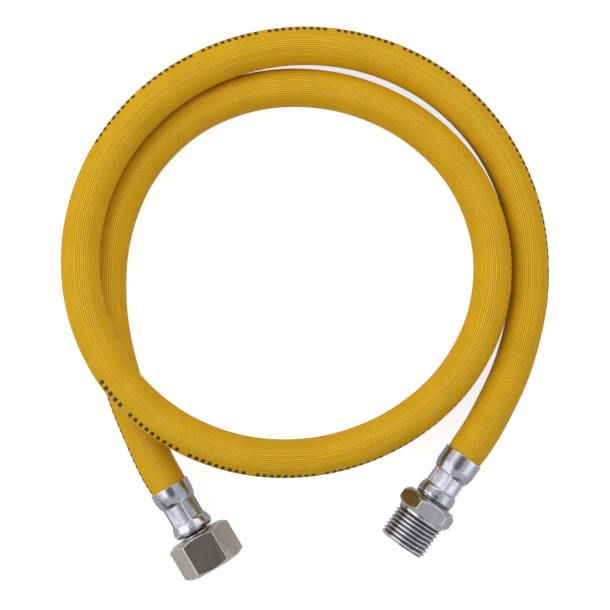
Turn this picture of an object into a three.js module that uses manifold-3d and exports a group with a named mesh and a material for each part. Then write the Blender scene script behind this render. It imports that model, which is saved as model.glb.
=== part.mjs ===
// A flexible gas hose, lying in a loose flat coil of nearly two turns. One end carries a crimped
// ferrule, a barbed tail and a hex swivel nut with a sealing washer. The other end carries a crimped
// ferrule on a turned fitting with a hex and an outside pipe thread.
// Units are millimetres and degrees, +Z is up, and the hose lies on the plane Z = 0.

import * as THREE from 'three';
import { mergeVertices } from 'three/addons/utils/BufferGeometryUtils.js';
import Module from 'manifold-3d';

const wasm = await Module();
wasm.setup();

// Gap between pieces that touch, and running gap of the pieces that turn.
const CLEARANCE = 0.3;
// Facets of a turned piece, and how far a cutting shape reaches past the face that it cuts.
const ROUND = 32;
const CUT_PAST = 1;

// Hose.
const HOSE_OUTSIDE = 16;
const HOSE_BORE = 10;
const HOSE_SIDES = 12;
const HOSE_STEPS = 80;
// Length of the short taper that leads the hose into a ferrule, and the overlap that joins the two.
const HOSE_TAPER = 4;
const HOSE_JOIN = 1;
// Straight stretch in front of a ferrule's mouth before the hose starts to bend.
const HOSE_LEAD = 5;
// How far a ferrule's mouth presses into the hose, and the hose's wall left under the crimp.
const MOUTH_SQUEEZE = 0.25;
const CRIMPED_WALL = 1.25;

// Pipe thread G1/2 on the male fitting and in the nut.
const THREAD_MAJOR = 20.955;
const THREAD_MINOR = 18.631;
const THREAD_PITCH = 1.814;

// Ferrules, pressed from thin sheet and crimped by six jaws. The crimp's corners stand over its
// flats, and the jaws' outer ends open past the sleeve.
const FERRULE_WALL = 0.5;
const FERRULE_LIP = 1.1;
const CRIMP_CORNER = 0.6;
const JAW_RELIEF = 0.4;

// Barbed tails: the nipple inside the hose, its barbs, and the collar and groove for the ferrule's lip.
const NIPPLE_SLACK = 0.2;
const NIPPLE_WALL = 1.1;
const NIPPLE_SETBACK = 2.5;
const BARB_HEIGHT = 0.35;
const BARB_PITCH = 3.2;
const COLLAR_RISE = 1.2;
const COLLAR_LENGTH = 0.9;
const GROOVE_RISE = 0.5;

// Swivel nut with the tail's neck and flange inside it, and the washer in front of the flange. Its
// flats stand one wall outside its thread.
const NUT_WALL = 1.5225;
const NUT_ACROSS_FLATS = THREAD_MAJOR + 2 * NUT_WALL;
const NUT_LENGTH = 15.6;
const NUT_LIP = 2.5;
const NUT_TRAVEL = 1;
const NUT_UNDERCUT = 0.8;
const NUT_BACK_GAP = 1.4;
const NECK_RISE = 1.7;
const FLANGE_LENGTH = 2;
const WASHER_BORE = 11;
const WASHER_THICKNESS = 2;

// Male fitting: hex, relief and outside thread, with a wide bore that ends in a cone inside the hex.
// Its flats stand a small step outside its thread.
const MALE_HEX_STEP = 0.5225;
const MALE_ACROSS_FLATS = THREAD_MAJOR + 2 * MALE_HEX_STEP;
const MALE_HEX_LENGTH = 7.6;
const MALE_RELIEF_LENGTH = 1.3;
const MALE_RELIEF_STEP = 0.23;
const MALE_THREAD_LENGTH = 13.4;
const MALE_BORE = 13;
const MALE_BORE_FLOOR = 5.5;
const BORE_CONE = 2.8;
// How far the male hex is turned from lying on a flat, as the stiff hose holds it.
const MALE_TURN = 9;

// Chamfers on both hexes: their slope, and the step from the flats in to the turned face.
const HEX_CHAMFER_ANGLE = 30;
const HEX_FACE_STEP = 0.65;
// A hexagon: degrees from the middle of a flat to a corner, and corner radius over flat radius.
const FLAT_TO_CORNER = 30;
const CORNER_RATIO = 1 / Math.cos(Math.PI / 6);

// Radii that the pieces inside each other share.
const NIPPLE_RADIUS = HOSE_BORE / 2 - NIPPLE_SLACK;
const NIPPLE_BORE_RADIUS = NIPPLE_RADIUS - NIPPLE_WALL;
const STRETCHED_RADIUS = NIPPLE_RADIUS + CLEARANCE;
const GROOVE_RADIUS = NIPPLE_RADIUS + GROOVE_RISE;
const COLLAR_RADIUS = NIPPLE_RADIUS + COLLAR_RISE;
const NECK_RADIUS = GROOVE_RADIUS + NECK_RISE;
const FLANGE_RADIUS = THREAD_MINOR / 2 - CLEARANCE;
const MOUTH_RADIUS = HOSE_OUTSIDE / 2 - MOUTH_SQUEEZE + CLEARANCE + FERRULE_WALL;
const CRIMP_RADIUS = STRETCHED_RADIUS + CRIMPED_WALL + CLEARANCE + FERRULE_WALL;

// The two ends: the middle of the ferrule's mouth, the way the end points seen from above, the turn
// of its crimp, the lengths of its ferrule's zones from the mouth on, how far its bead stands over
// the mouth, and how far it is tucked in behind the bead.
const NUT_END = {
  mouth: [-57.0, -76.0, NUT_ACROSS_FLATS / 2],
  heading: -59.5,
  crimpTurn: -13.5,
  ferrule: { mouth: 3.9, shoulder: 4.1, crimp: 7.9, flare: 3.4, bead: 2.2, rise: 0.05, tuck: 0.8 },
};
const MALE_END = {
  mouth: [65.6, -63.3, hexHeight(MALE_ACROSS_FLATS, MALE_TURN)],
  heading: -125.4,
  crimpTurn: 0,
  ferrule: { mouth: 6.3, shoulder: 3.8, crimp: 6.6, flare: 3.4, bead: 2.6, rise: -0.2, tuck: 0.65 },
};

// Points that the middle of the hose follows, from the male ferrule to the nut's ferrule. The outer
// turn climbs on the inner one on the left, crosses over the nut's end and leans on the first turn.
const HOSE_ROUTE = [
  [76.4, -46.6, 10.9], [86.7, -24.1, 9.1], [93.1, 6.9, 8.1], [90.1, 38.6, 8.1], [77.2, 67.2, 8.1],
  [55.7, 89.5, 8.1], [27.9, 103.2, 8.5], [-3.1, 106.9, 11.6], [-33.9, 100.4, 15.1], [-61.2, 84.2, 18.8],
  [-81.4, 59.9, 20.2], [-91.8, 30.4, 20.3], [-90.8, -0.4, 22.3], [-78.2, -28.5, 24.9], [-55.8, -50.0, 24.5],
  [-26.8, -62.1, 20.9], [4.9, -63.1, 16.9], [35.1, -53.0, 14.4], [59.6, -33.3, 14.0], [74.4, -6.2, 14.3],
  [76.6, 24.4, 13.5], [65.6, 53.2, 11.6], [43.4, 75.4, 9.4], [13.8, 87.9, 8.1], [-18.1, 88.8, 8.1],
  [-47.2, 77.9, 8.2], [-69.1, 56.5, 8.3], [-80.9, 27.8, 8.1], [-82.4, -4.0, 8.1], [-75.6, -35.2, 9.0],
  [-66.3, -58.2, 11.1],
];

const FINISH = {
  hose: { color: 0xd6ae12, metalness: 0, roughness: 0.5 },
  ferrule: { color: 0xc4c8ce, metalness: 1, roughness: 0.22 },
  nut: { color: 0xb9b5ac, metalness: 1, roughness: 0.36 },
  male: { color: 0xbdb8ae, metalness: 1, roughness: 0.3 },
  tail: { color: 0xc9b27a, metalness: 1, roughness: 0.35 },
  washer: { color: 0x23262a, metalness: 0, roughness: 0.75 },
};

// Height of a hex's axis over the plane that its lowest corner or flat lies on.
function hexHeight(acrossFlats, turn) {
  const fromCorner = THREE.MathUtils.degToRad(FLAT_TO_CORNER - Math.abs(turn));
  return (acrossFlats / 2) * CORNER_RATIO * Math.cos(fromCorner);
}

// Matrix of an end's own frame: its origin at the ferrule's mouth, +Z out of the fitting, +Y up.
function endFrame(end) {
  const heading = THREE.MathUtils.degToRad(end.heading);
  const out = new THREE.Vector3(Math.cos(heading), Math.sin(heading), 0);
  const up = new THREE.Vector3(0, 0, 1);
  const side = new THREE.Vector3().crossVectors(up, out);
  return new THREE.Matrix4().makeBasis(side, up, out).setPosition(...end.mouth);
}

// A closed three.js geometry as a solid that can be joined and cut.
function solidOf(geometry) {
  const bare = geometry.clone();
  bare.deleteAttribute('normal');
  bare.deleteAttribute('uv');
  const merged = mergeVertices(bare, 1e-4);
  return new wasm.Manifold(new wasm.Mesh({
    numProp: 3,
    vertProperties: Float32Array.from(merged.attributes.position.array),
    triVerts: Uint32Array.from(merged.index.array),
  }));
}

// A solid back as a three.js geometry.
function geometryOf(solid) {
  const mesh = solid.getMesh();
  const geometry = new THREE.BufferGeometry();
  geometry.setAttribute('position', new THREE.BufferAttribute(mesh.vertProperties, 3));
  geometry.setIndex(new THREE.BufferAttribute(mesh.triVerts, 1));
  geometry.computeVertexNormals();
  return geometry;
}

// Ring about +Z. Its profile of [radius, z] pairs runs up the outside and down the inside.
function turned(profile, facets = ROUND) {
  const points = profile.map(([radius, z]) => new THREE.Vector2(radius, z));
  points.push(points[0].clone());
  return new THREE.LatheGeometry(points, facets).rotateX(Math.PI / 2);
}

// Regular polygon as a THREE.Shape, or as a THREE.Path for a hole.
function regularPolygon(Kind, radius, sides) {
  const corners = Array.from({ length: sides }, (_, corner) => {
    const angle = (2 * Math.PI * corner) / sides;
    return new THREE.Vector2(radius * Math.cos(angle), radius * Math.sin(angle));
  });
  return new Kind(corners);
}

// Hex block with a round hole of the radius given and its corners turned to a cone at both faces.
// It lies with a flat up, from z = 0 to its length.
function chamferedHex(acrossFlats, length, hole) {
  const faceRadius = acrossFlats / 2 - HEX_FACE_STEP;
  const corner = (acrossFlats / 2) * CORNER_RATIO;
  const outline = regularPolygon(THREE.Shape, corner, 6);
  outline.holes.push(regularPolygon(THREE.Path, hole, ROUND));
  const block = new THREE.ExtrudeGeometry(outline, { depth: length, bevelEnabled: false });
  const beyond = corner + CUT_PAST;
  const rise = (beyond - faceRadius) * Math.tan(THREE.MathUtils.degToRad(HEX_CHAMFER_ANGLE));
  const inside = hole / 2;
  const cone = turned([
    [inside, 0],
    [faceRadius, 0],
    [beyond, rise],
    [beyond, length - rise],
    [faceRadius, length],
    [inside, length],
  ]);
  return solidOf(block).intersect(solidOf(cone));
}

// Profile points of thread ridges between two radii, from one z to another.
function ridges(root, crest, from, to) {
  const count = Math.floor((to - from) / THREAD_PITCH);
  const start = to - count * THREAD_PITCH;
  const points = [];
  for (let ridge = 0; ridge < count; ridge += 1) {
    points.push([root, start + ridge * THREAD_PITCH]);
    points.push([crest, start + (ridge + 0.5) * THREAD_PITCH]);
  }
  return points;
}

// Places along a ferrule and the collar inside it, counted from the ferrule's mouth.
function ferruleStations(zones) {
  const shoulder = zones.mouth + zones.shoulder;
  const crimp = shoulder + zones.crimp;
  const bead = crimp + zones.flare;
  const end = bead + zones.bead;
  const lip = end - FERRULE_LIP;
  const collarEnd = lip - CLEARANCE;
  const collar = collarEnd - COLLAR_LENGTH;
  return { mouth: zones.mouth, shoulder, crimp, bead, collar, collarEnd, lip, end };
}

// Ferrule: a round sleeve, cut by the hourglass that the six jaws leave and hooked in at its end.
function ferrule(end) {
  const zones = end.ferrule;
  const at = ferruleStations(zones);
  const beadRadius = MOUTH_RADIUS + zones.rise;
  const cornerRadius = CRIMP_RADIUS + CRIMP_CORNER;
  const throat = CRIMP_RADIUS - FERRULE_WALL;
  const beadTop = (at.bead + at.lip) / 2;
  const sleeve = turned([
    [MOUTH_RADIUS, 0],
    [MOUTH_RADIUS, at.mouth],
    [cornerRadius, at.shoulder],
    [cornerRadius, at.crimp],
    [beadRadius, at.bead],
    [beadRadius, beadTop],
    [beadRadius - zones.tuck, at.end],
    [GROOVE_RADIUS + CLEARANCE, at.end],
    [GROOVE_RADIUS + CLEARANCE, at.lip],
    [beadRadius - 2 * FERRULE_WALL, at.lip],
    [beadRadius - FERRULE_WALL, at.bead],
    [throat, at.crimp],
    [throat, at.shoulder],
    [MOUTH_RADIUS - FERRULE_WALL, at.mouth],
    [MOUTH_RADIUS - FERRULE_WALL, 0],
  ]);
  const inside = throat / 2;
  const open = (MOUTH_RADIUS + JAW_RELIEF) * CORNER_RATIO;
  const closed = CRIMP_RADIUS * CORNER_RATIO;
  const jaws = turned([
    [open, -CUT_PAST],
    [open, at.mouth],
    [closed, at.shoulder],
    [closed, at.crimp],
    [open, at.bead],
    [open, at.end + CUT_PAST],
    [inside, at.end + CUT_PAST],
    [inside, -CUT_PAST],
  ], 6).rotateZ(THREE.MathUtils.degToRad(end.crimpTurn));
  return solidOf(sleeve).intersect(solidOf(jaws));
}

// Outside of a tail inside the hose: the barbed nipple, the collar and the groove for the lip.
function nippleProfile(end) {
  const at = ferruleStations(end.ferrule);
  const points = [[NIPPLE_RADIUS - BARB_HEIGHT, NIPPLE_SETBACK]];
  const barbs = Math.floor((at.collar - NIPPLE_SETBACK) / BARB_PITCH) - 1;
  for (let barb = 1; barb <= barbs; barb += 1) {
    const z = NIPPLE_SETBACK + barb * BARB_PITCH;
    points.push([NIPPLE_RADIUS, z], [NIPPLE_RADIUS - BARB_HEIGHT, z]);
  }
  points.push(
    [NIPPLE_RADIUS - BARB_HEIGHT, at.collar],
    [COLLAR_RADIUS, at.collar],
    [COLLAR_RADIUS, at.collarEnd],
    [GROOVE_RADIUS, at.collarEnd],
    [GROOVE_RADIUS, at.end + CLEARANCE],
  );
  return points;
}

// One end of the hose: it tapers into the ferrule, is squeezed by the crimp and ends at the collar.
function hoseEnd(end) {
  const zones = end.ferrule;
  const at = ferruleStations(zones);
  const outer = HOSE_OUTSIDE / 2;
  const inMouth = outer - MOUTH_SQUEEZE;
  const inCrimp = STRETCHED_RADIUS + CRIMPED_WALL;
  const inBead = MOUTH_RADIUS + zones.rise - 2 * FERRULE_WALL - CLEARANCE;
  const stop = at.collar - CLEARANCE;
  const geometry = turned([
    [HOSE_BORE / 2, -HOSE_TAPER],
    [outer, -HOSE_TAPER],
    [inMouth, 0],
    [inMouth, at.mouth],
    [inCrimp, at.shoulder],
    [inCrimp, at.crimp],
    [inBead, Math.min(at.bead, stop - CLEARANCE)],
    [inBead, stop],
    [STRETCHED_RADIUS, stop],
    [STRETCHED_RADIUS, 0],
  ], 2 * HOSE_SIDES);
  return solidOf(geometry.applyMatrix4(endFrame(end)));
}

// The whole hose: a tube along its route, joined to its two ends in the ferrules.
function hose() {
  const tubeStart = HOSE_JOIN - HOSE_TAPER;
  const onAxis = (end, z) => new THREE.Vector3(0, 0, z).applyMatrix4(endFrame(end));
  const route = new THREE.CatmullRomCurve3([
    onAxis(MALE_END, tubeStart),
    onAxis(MALE_END, tubeStart - HOSE_LEAD),
    ...HOSE_ROUTE.map((point) => new THREE.Vector3(...point)),
    onAxis(NUT_END, tubeStart - HOSE_LEAD),
    onAxis(NUT_END, tubeStart),
  ], false, 'centripetal');
  const section = regularPolygon(THREE.Shape, HOSE_OUTSIDE / 2, HOSE_SIDES);
  section.holes.push(regularPolygon(THREE.Path, HOSE_BORE / 2, HOSE_SIDES));
  const tube = new THREE.ExtrudeGeometry(section, {
    steps: HOSE_STEPS,
    extrudePath: route,
    bevelEnabled: false,
  });
  return solidOf(tube).add(hoseEnd(MALE_END)).add(hoseEnd(NUT_END));
}

// Places along the nut's end, counted from its ferrule's mouth.
function nutStations() {
  const back = ferruleStations(NUT_END.ferrule).end + NUT_BACK_GAP;
  const lip = back + NUT_LIP;
  const flange = lip + NUT_TRAVEL + CLEARANCE;
  const seat = flange + FLANGE_LENGTH;
  return { back, lip, flange, seat, washer: seat + CLEARANCE, front: back + NUT_LENGTH };
}

// Tail of the nut's end: barbed nipple, neck through the nut and flange that the nut pulls on.
function hoseTail() {
  const at = nutStations();
  return solidOf(turned([
    ...nippleProfile(NUT_END),
    [NECK_RADIUS, ferruleStations(NUT_END.ferrule).end + CLEARANCE],
    [NECK_RADIUS, at.flange],
    [FLANGE_RADIUS, at.flange],
    [FLANGE_RADIUS, at.seat],
    [NIPPLE_BORE_RADIUS, at.seat],
    [NIPPLE_BORE_RADIUS, NIPPLE_SETBACK],
  ]));
}

// Flat ring between the tail's flange and whatever is screwed into the nut.
function sealingWasher() {
  const { washer } = nutStations();
  return solidOf(turned([
    [FLANGE_RADIUS, washer],
    [FLANGE_RADIUS, washer + WASHER_THICKNESS],
    [WASHER_BORE / 2, washer + WASHER_THICKNESS],
    [WASHER_BORE / 2, washer],
  ]));
}

// Swivel nut: hex outside, lip round the tail's neck, undercut for the flange, then the thread.
function swivelNut() {
  const at = nutStations();
  const major = THREAD_MAJOR / 2;
  const block = chamferedHex(NUT_ACROSS_FLATS, NUT_LENGTH, NECK_RADIUS + CLEARANCE);
  const inside = NECK_RADIUS / 2;
  const cutter = turned([
    [major, at.lip],
    ...ridges(major, THREAD_MINOR / 2, at.lip + NUT_UNDERCUT, at.front),
    [major, at.front],
    [major, at.front + CUT_PAST],
    [inside, at.front + CUT_PAST],
    [inside, at.lip],
  ]);
  return block.translate([0, 0, at.back]).subtract(solidOf(cutter));
}

// Male fitting, turned in one piece: barbed nipple, hex, relief and outside thread.
function maleFitting() {
  const ferruleEnd = ferruleStations(MALE_END.ferrule).end;
  const hexBack = ferruleEnd + CLEARANCE;
  const hexFront = hexBack + MALE_HEX_LENGTH;
  const threadStart = hexFront + MALE_RELIEF_LENGTH;
  const front = threadStart + MALE_THREAD_LENGTH;
  const minor = THREAD_MINOR / 2;
  const relief = THREAD_MAJOR / 2 - MALE_RELIEF_STEP;
  const boreFloor = hexBack + MALE_BORE_FLOOR;
  const turning = turned([
    ...nippleProfile(MALE_END),
    [relief - HEX_FACE_STEP, hexBack],
    [relief, hexFront],
    [relief, threadStart],
    [minor, threadStart],
    ...ridges(minor, THREAD_MAJOR / 2, threadStart, front),
    [minor, front],
    [MALE_BORE / 2, front],
    [MALE_BORE / 2, boreFloor + BORE_CONE],
    [NIPPLE_BORE_RADIUS, boreFloor],
    [NIPPLE_BORE_RADIUS, NIPPLE_SETBACK],
  ]);
  const hex = chamferedHex(MALE_ACROSS_FLATS, MALE_HEX_LENGTH, (relief + MALE_BORE / 2) / 2)
    .rotate([0, 0, -MALE_TURN])
    .translate([0, 0, hexBack]);
  return solidOf(turning).add(hex);
}

// Named mesh of a solid in one of the finishes.
function piece(name, solid, finish) {
  const mesh = new THREE.Mesh(geometryOf(solid), new THREE.MeshStandardMaterial(FINISH[finish]));
  mesh.name = name;
  return mesh;
}

// Group that carries the pieces of one end in that end's own frame.
function endGroup(end, ...pieces) {
  const group = new THREE.Group();
  group.applyMatrix4(endFrame(end));
  group.add(...pieces);
  return group;
}

const gasHose = new THREE.Group();
gasHose.add(
  piece('hose', hose(), 'hose'),
  endGroup(
    NUT_END,
    piece('nut_end_ferrule', ferrule(NUT_END), 'ferrule'),
    piece('hose_tail', hoseTail(), 'tail'),
    piece('swivel_nut', swivelNut(), 'nut'),
    piece('sealing_washer', sealingWasher(), 'washer'),
  ),
  endGroup(
    MALE_END,
    piece('male_end_ferrule', ferrule(MALE_END), 'ferrule'),
    piece('male_fitting', maleFitting(), 'male'),
  ),
);

export default gasHose;
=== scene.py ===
"""Looks for a flexible gas hose that lies in a loose flat coil of nearly two turns.

One end carries a crimped ferrule, a brass tail and a hex swivel nut with its washer. The other end
carries a crimped ferrule and a turned fitting with a hex and an outside pipe thread. Lengths are in
millimetres until a mesh is made, where they become metres, and angles are in degrees.
"""

import logging
import math
from collections.abc import Sequence
from dataclasses import dataclass
from enum import Enum

import bpy
import numpy as np
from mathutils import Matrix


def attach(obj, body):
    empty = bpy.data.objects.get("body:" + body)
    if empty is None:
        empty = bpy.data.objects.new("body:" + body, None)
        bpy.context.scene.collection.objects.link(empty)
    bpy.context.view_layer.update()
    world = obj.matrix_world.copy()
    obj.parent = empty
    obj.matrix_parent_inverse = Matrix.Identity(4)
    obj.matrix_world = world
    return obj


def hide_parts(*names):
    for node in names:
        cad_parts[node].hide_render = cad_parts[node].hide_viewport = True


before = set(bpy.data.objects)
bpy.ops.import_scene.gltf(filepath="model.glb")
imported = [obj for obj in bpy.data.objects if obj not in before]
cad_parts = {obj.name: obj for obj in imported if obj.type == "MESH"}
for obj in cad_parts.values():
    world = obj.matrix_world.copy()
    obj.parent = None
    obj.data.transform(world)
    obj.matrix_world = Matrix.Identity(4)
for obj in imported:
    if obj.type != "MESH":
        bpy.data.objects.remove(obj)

LOG = logging.getLogger("gas_hose")
MM = 0.001
IMAGE_SIDE = 610
FULL_TURN = 2 * math.pi
MOST_BEND = 4.0
FAR_OFF = 99.0

Array = np.ndarray
Piece = bpy.types.Object
Material = bpy.types.Material
Node = bpy.types.Node
Tree = bpy.types.NodeTree
Socket = bpy.types.NodeSocket
Feed = float | tuple[float, ...] | Socket
Feeds = dict[str | int, Feed]
Triple = tuple[float, float, float]
Colour = tuple[float, float, float, float]


class Body(Enum):
    """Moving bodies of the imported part."""

    HOSE = "hose_body"
    WASHER = "washer"
    NUT = "nut"


class Slot(Enum):
    """Material slots of the record."""

    HOSE = "hose_yellow"
    FERRULE = "ferrule_zinc"
    TAIL = "tail_brass"
    NUT = "nut_nickel"
    WASHER = "washer_black"
    MALE = "male_nickel"


@dataclass(frozen=True)
class Shared:
    """Sizes that pieces inside each other share, in millimetres."""

    clearance: float = 0.3
    hose_radius: float = 8.0
    mouth_squeeze: float = 0.25
    bore_radius: float = 5.0
    nipple_radius: float = 4.8
    nipple_bore_radius: float = 3.7
    nipple_setback: float = 2.5
    barb_height: float = 0.35
    barb_pitch: float = 3.2
    stretched_radius: float = 5.1
    crimped_wall: float = 1.25
    groove_radius: float = 5.3
    collar_radius: float = 6.0
    collar_length: float = 0.9
    neck_radius: float = 7.0
    flange_radius: float = 9.0155
    thread_major: float = 10.4775
    thread_minor: float = 9.3155
    thread_pitch: float = 1.814
    ferrule_wall: float = 0.5
    ferrule_lip: float = 1.1
    mouth_radius: float = 8.55
    crimp_radius: float = 7.15
    crimp_corner: float = 0.6
    jaw_relief: float = 0.4
    hex_face_step: float = 0.65


SIZES = Shared()


@dataclass(frozen=True)
class FerruleZones:
    """Lengths of a ferrule's zones from its mouth on, and the rise and tuck of its bead."""

    mouth: float
    shoulder: float
    crimp: float
    flare: float
    bead: float
    rise: float
    tuck: float

    @property
    def shoulder_at(self) -> float:
        """Place where the shoulder meets the crimp."""
        return self.mouth + self.shoulder

    @property
    def crimp_at(self) -> float:
        """Place where the crimp ends and the flare starts."""
        return self.shoulder_at + self.crimp

    @property
    def bead_at(self) -> float:
        """Place where the flare meets the bead."""
        return self.crimp_at + self.flare

    @property
    def end_at(self) -> float:
        """Place of the ferrule's end face."""
        return self.bead_at + self.bead

    @property
    def lip_at(self) -> float:
        """Place of the inner face of the lip that hooks behind the collar."""
        return self.end_at - SIZES.ferrule_lip

    @property
    def collar_end(self) -> float:
        """Place of the collar's far face."""
        return self.lip_at - SIZES.clearance

    @property
    def collar_at(self) -> float:
        """Place of the collar's near face."""
        return self.collar_end - SIZES.collar_length

    @property
    def hose_stop(self) -> float:
        """Place where the hose ends in front of the collar."""
        return self.collar_at - SIZES.clearance


@dataclass(frozen=True)
class HoseEnd:
    """One end's own frame and ferrule: +Z points out of the fitting, +Y is up."""

    mouth: Triple
    heading: float
    crimp_turn: float
    zones: FerruleZones

    @property
    def jaw_angle(self) -> float:
        """Angle of a gap between two jaws from the end's side, in degrees."""
        return 90.0 + self.crimp_turn

    def axes(self) -> Array:
        """The end's own frame.

        Returns:
            Rows of its side, up and out directions.
        """
        turn = math.radians(self.heading)
        side = (-math.sin(turn), math.cos(turn), 0.0)
        out = (math.cos(turn), math.sin(turn), 0.0)
        return np.array([side, (0.0, 0.0, 1.0), out])

    def place(self, points: Array) -> Array:
        """Points of the end's own frame in the part's frame.

        Args:
            points: Array whose last axis is side, up and out, in millimetres.
        Returns:
            mouth + side·x + up·y + out·z for each point.
        """
        return np.array(self.mouth) + points @ self.axes()

    def on_axis(self, distance: float) -> Array:
        """Point on the end's axis at a distance out of its mouth."""
        return self.place(np.array([0.0, 0.0, distance]))


NUT_END = HoseEnd(
    mouth=(-57.0, -76.0, 12.0),
    heading=-59.5,
    crimp_turn=-13.5,
    zones=FerruleZones(3.9, 4.1, 7.9, 3.4, 2.2, 0.05, 0.8),
)
MALE_END = HoseEnd(
    mouth=(65.6, -63.3, 11.858),
    heading=-125.4,
    crimp_turn=0.0,
    zones=FerruleZones(6.3, 3.8, 6.6, 3.4, 2.6, -0.2, 0.65),
)


def angles_round(count: int) -> Array:
    """Evenly spread angles of a full turn, in radians."""
    return np.linspace(0.0, FULL_TURN, count, endpoint=False)


def angles_hex(turn: float) -> Array:
    """Angles of a full turn that gather at a hexagon's corners.

    Args:
        turn: Angle of the first corner, in degrees.
    Returns:
        Angles in radians: turn plus each sixth of a turn, times shares from corner to corner.
    """
    half = np.array([0.0, 0.01, 0.022, 0.04, 0.065, 0.1, 0.15, 0.2, 0.25, 0.3, 0.35, 0.4, 0.45])
    shares = np.concatenate([half, [0.5], 1.0 - half[:0:-1]])
    sixths = np.arange(6)[:, None] + shares[None, :]
    return math.radians(turn) + sixths.ravel() * (FULL_TURN / 6)


def hexagon_radius(angles: Array, flat_radius: float, turn: float) -> Array:
    """Radius of a hexagon with softened corners.

    The radius is flat / (sum over the flats of max(cos(angle - flat's angle), 0)^n)^(1/n). A large n
    gives nearly sharp corners.

    Args:
        angles: Angles in radians.
        flat_radius: Distance from the axis to a flat.
        turn: Angle of a corner, in degrees.
    Returns:
        Radius at each angle.
    """
    sharpness = 170.0
    flats = math.radians(turn) + (np.arange(6) + 0.5) * (FULL_TURN / 6)
    reach = np.maximum(np.cos(angles[..., None] - flats), 0.0)
    return flat_radius / np.power(np.power(reach, sharpness).sum(axis=-1), 1.0 / sharpness)


def soft_min(first: Array, second: Array, softness: float) -> Array:
    """Smaller of two values with a soft corner: -s·log(e^(-a/s) + e^(-b/s))."""
    return -softness * np.logaddexp(-first / softness, -second / softness)


def rounded(corners: Sequence[Triple], spare: int = 0) -> Array:
    """Closed profile whose corners are rounded.

    Each corner becomes the curve (1-t)²·a + 2t(1-t)·corner + t²·b, with a and b one fillet away
    from it on its two sides. One more point stands half a fillet outside a and b, so that the flats
    stay flat under smooth shading.

    Args:
        corners: [radius, z, fillet] of each corner, up the outside and down the inside.
        spare: Corners at the end that only turn the ones beside them and are left out.
    Returns:
        Array of [radius, z] pairs.
    """
    steps, longest_share, guard = 4, 0.3, 1.5
    table = np.array(corners, float)
    point = table[:, :2]
    back = np.roll(point, 1, axis=0) - point
    ahead = np.roll(point, -1, axis=0) - point
    back_length = np.linalg.norm(back, axis=1, keepdims=True)
    ahead_length = np.linalg.norm(ahead, axis=1, keepdims=True)
    reach = np.minimum(table[:, 2:], longest_share * np.minimum(back_length, ahead_length))
    back = back / back_length * reach
    ahead = ahead / ahead_length * reach
    start, end, middle = (point + back)[:, None], (point + ahead)[:, None], point[:, None]
    t = np.linspace(0.0, 1.0, steps + 1)[None, :, None]
    curve = (1 - t) ** 2 * start + 2 * t * (1 - t) * middle + t**2 * end
    before, after = (point + back * guard)[:, None], (point + ahead * guard)[:, None]
    profile = np.concatenate([before, curve, after], axis=1)
    return profile[: len(corners) - spare].reshape(-1, 2)


def distances(line: Array) -> Array:
    """Distance of each point of a line from its first one, along the line."""
    return np.concatenate([[0.0], np.cumsum(np.linalg.norm(np.diff(line, axis=0), axis=1))])


def at_places(line: Array, along: Array, places: Array) -> Array:
    """Points of a line at distances along it, by straight steps between its own points."""
    return np.stack([np.interp(places, along, line[:, k]) for k in range(line.shape[1])], axis=1)


def refined(profile: Array, longest: float) -> Array:
    """Profile with points added so that no step is much longer than the length given.

    Args:
        profile: Array of [radius, z] pairs.
        longest: Longest step, in millimetres.
    Returns:
        The profile's own points and evenly spread points between them, sorted along it.
    """
    along = distances(profile)
    even = np.linspace(0.0, along[-1], int(along[-1] / longest) + 2)
    gap = np.abs(even[:, None] - along[None, :]).min(axis=1)
    least_gap = 0.3 * longest
    places = np.sort(np.concatenate([along, even[gap > least_gap]]))
    return at_places(profile, along, places)


def spun(profile: Array, columns: int) -> Array:
    """Rows of a turned profile, the same at every angle: shape (points, columns, 2)."""
    return np.repeat(profile[:, None, :], columns, axis=1)


def hex_rows(
    corner_radius: Array, face_radius: float, back: float, front: float, chamfer: float = 30.0
) -> Array:
    """Outside rows of a hex with its corners turned to a cone at both faces.

    On the back cone z = back + (r - face)·tan(chamfer), so the cone meets the flats at the height
    that the hexagon's own radius gives at each angle. The front is its mirror image.

    Args:
        corner_radius: The hexagon's radius at each column's angle.
        face_radius: Radius at which the cone meets the end face.
        back: Place of the back face.
        front: Place of the front face.
        chamfer: Slope of the cone, in degrees.
    Returns:
        Rows of [radius, z], shape (rows, columns, 2).
    """
    soft, lift = 0.1, 0.04
    slope = math.tan(math.radians(chamfer))
    rise = (corner_radius - face_radius) * slope
    face = np.full_like(corner_radius, face_radius)
    level = np.zeros_like(corner_radius)
    span = corner_radius - face
    near = [
        (face - 2 * soft, level),
        (face - soft, level),
        (face, level + lift),
        (face + 0.25 * span, 0.25 * rise),
        (face + 0.6 * span, 0.6 * rise),
        (corner_radius - soft, rise - soft * slope),
        (corner_radius - 0.3 * soft, rise + 0.2 * soft),
        (corner_radius, rise + soft),
        (corner_radius, rise + 2.5 * soft),
        (corner_radius, 0.5 * (rise + 2.5 * soft + (front - back) / 2)),
    ]
    radii, heights = (np.stack(values) for values in zip(*near))
    low = np.stack([radii, back + heights], axis=-1)
    high = np.stack([radii, front - heights], axis=-1)[::-1]
    return np.concatenate([low, high])


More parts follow.
